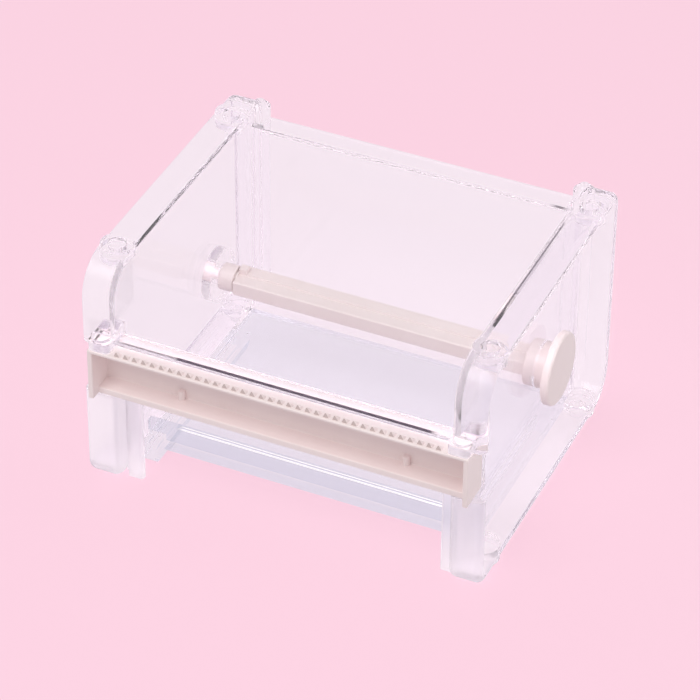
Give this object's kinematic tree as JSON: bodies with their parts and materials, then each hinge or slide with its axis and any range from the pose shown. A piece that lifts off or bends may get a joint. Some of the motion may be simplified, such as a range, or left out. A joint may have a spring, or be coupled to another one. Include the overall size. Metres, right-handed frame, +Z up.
{
  "type": "tape dispenser",
  "caption": "Stackable clear desk dispenser for narrow decorative tape, with a toothed cream cutter and a pull-out axle.",
  "frame": {"origin": "on the table under the middle of the whole dispenser", "axes": "+X to the knob side, which is the right when the teeth face you, +Y to the rear, +Z up"},
  "size_m": [0.1166, 0.0972, 0.0725],
  "materials": {
    "clear_plastic": "clear, polished, faintly milky",
    "cream_plastic": "moulded, satin, slightly translucent"
  },
  "bodies": {
    "frame": {"left_side_plate": "clear_plastic", "right_side_plate": "clear_plastic", "back_panel": "clear_plastic", "base_tray": "clear_plastic", "front_bar": "clear_plastic", "cutter_bar": "cream_plastic"},
    "bush": {"axle_bush": "cream_plastic"},
    "axle": {"axle_shaft": "cream_plastic", "axle_knob": "cream_plastic"}
  },
  "joints": [
    {"name": "axle_pull", "type": "slide", "parent": "frame", "child": "bush", "axis": [1, 0, 0], "range_m": [0, 0.112]},
    {"name": "axle_spin", "type": "hinge", "parent": "bush", "child": "axle", "pos_m": [0, 0.0148, 0.033], "axis": [1, 0, 0], "continuous": true}
  ]
}
